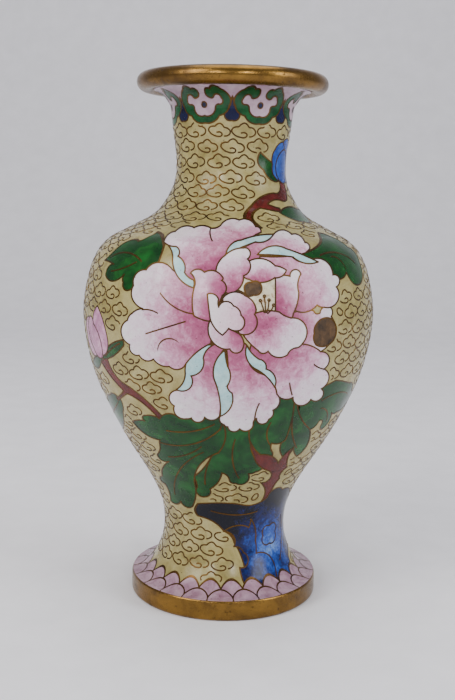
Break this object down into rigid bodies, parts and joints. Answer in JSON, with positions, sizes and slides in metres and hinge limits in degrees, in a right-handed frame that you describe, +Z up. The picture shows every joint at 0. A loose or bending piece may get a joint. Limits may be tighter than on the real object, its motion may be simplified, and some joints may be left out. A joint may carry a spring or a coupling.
{
  "type": "cloisonne vase",
  "caption": "Baluster cloisonne vase: copper body, brass rim and foot rings, wire cells of coloured enamel with a peony, leaves and rock.",
  "frame": {"origin": "centre of the foot ring at the face it rests on", "axes": "+Z up along the vase axis, -Y towards the peony panel, +X to the right of it"},
  "size_m": [0.086, 0.0861, 0.155],
  "materials": {
    "blue_enamel": "gloss",
    "brass": "aged satin",
    "braze": "brazed seam",
    "bud_enamel": "gloss",
    "cloison_wire": "polished with the enamel",
    "collar_enamel": "gloss",
    "copper": "spun, dull",
    "counter_enamel": "gloss",
    "crescent_enamel": "gloss",
    "drop_enamel": "gloss",
    "ground_enamel": "gloss",
    "heart_enamel": "gloss",
    "leaf_enamel": "gloss",
    "patch_resin": "repair filler, semi-gloss",
    "petal_enamel": "gloss",
    "rock_enamel": "gloss",
    "ruyi_enamel": "gloss",
    "scale_enamel": "gloss",
    "stamen_enamel": "gloss",
    "stem_enamel": "gloss"
  },
  "bodies": {
    "root": {"back_blossoms": "petal_enamel", "base_enamel": "counter_enamel", "base_plate": "copper", "blue_flower": "blue_enamel", "brazed_seams": "braze", "bud_petals": "bud_enamel", "collar_drops": "drop_enamel", "collar_field": "collar_enamel", "collar_wires": "cloison_wire", "crescents": "crescent_enamel", "foot_core": "copper", "foot_ring": "brass", "ground": "ground_enamel", "heart_petal": "heart_enamel", "heart_petal_left": "heart_enamel", "heart_petal_low": "heart_enamel", "heart_petal_right": "heart_enamel", "inner_lining": "counter_enamel", "leaf_far_right": "leaf_enamel", "leaf_low_middle": "leaf_enamel", "leaf_upper_left": "leaf_enamel", "leaf_upper_right": "leaf_enamel", "leaves_back": "leaf_enamel", "leaves_left": "leaf_enamel", "leaves_low_left": "leaf_enamel", "leaves_low_right": "leaf_enamel", "leaves_neck": "leaf_enamel", "lower_core": "copper", "neck_core": "copper", "petal_crown": "petal_enamel", "petal_left": "petal_enamel", "petal_low_left": "petal_enamel", "petal_low_middle": "petal_enamel", "petal_low_right": "petal_enamel", "petal_right_back": "petal_enamel", "petal_right_low": "petal_enamel", "petal_right_side": "petal_enamel", "petal_tall": "petal_enamel", "petal_top_right": "petal_enamel", "petal_upper_heart": "petal_enamel", "petal_upper_right": "petal_enamel", "repair_patches": "patch_resin", "rim_ring": "brass", "rock_body": "rock_enamel", "rock_hollow": "rock_enamel", "ruyi_heads": "ruyi_enamel", "scale_wires": "cloison_wire", "scales_high": "scale_enamel", "scales_low": "scale_enamel", "shoulder_core": "copper", "stamen_field": "stamen_enamel", "stem_back": "stem_enamel", "stem_forked": "stem_enamel", "stem_left": "stem_enamel", "stem_neck": "stem_enamel", "wires_back": "cloison_wire", "wires_front": "cloison_wire", "wires_rock": "cloison_wire", "wires_sides": "cloison_wire"}
  },
  "joints": []
}
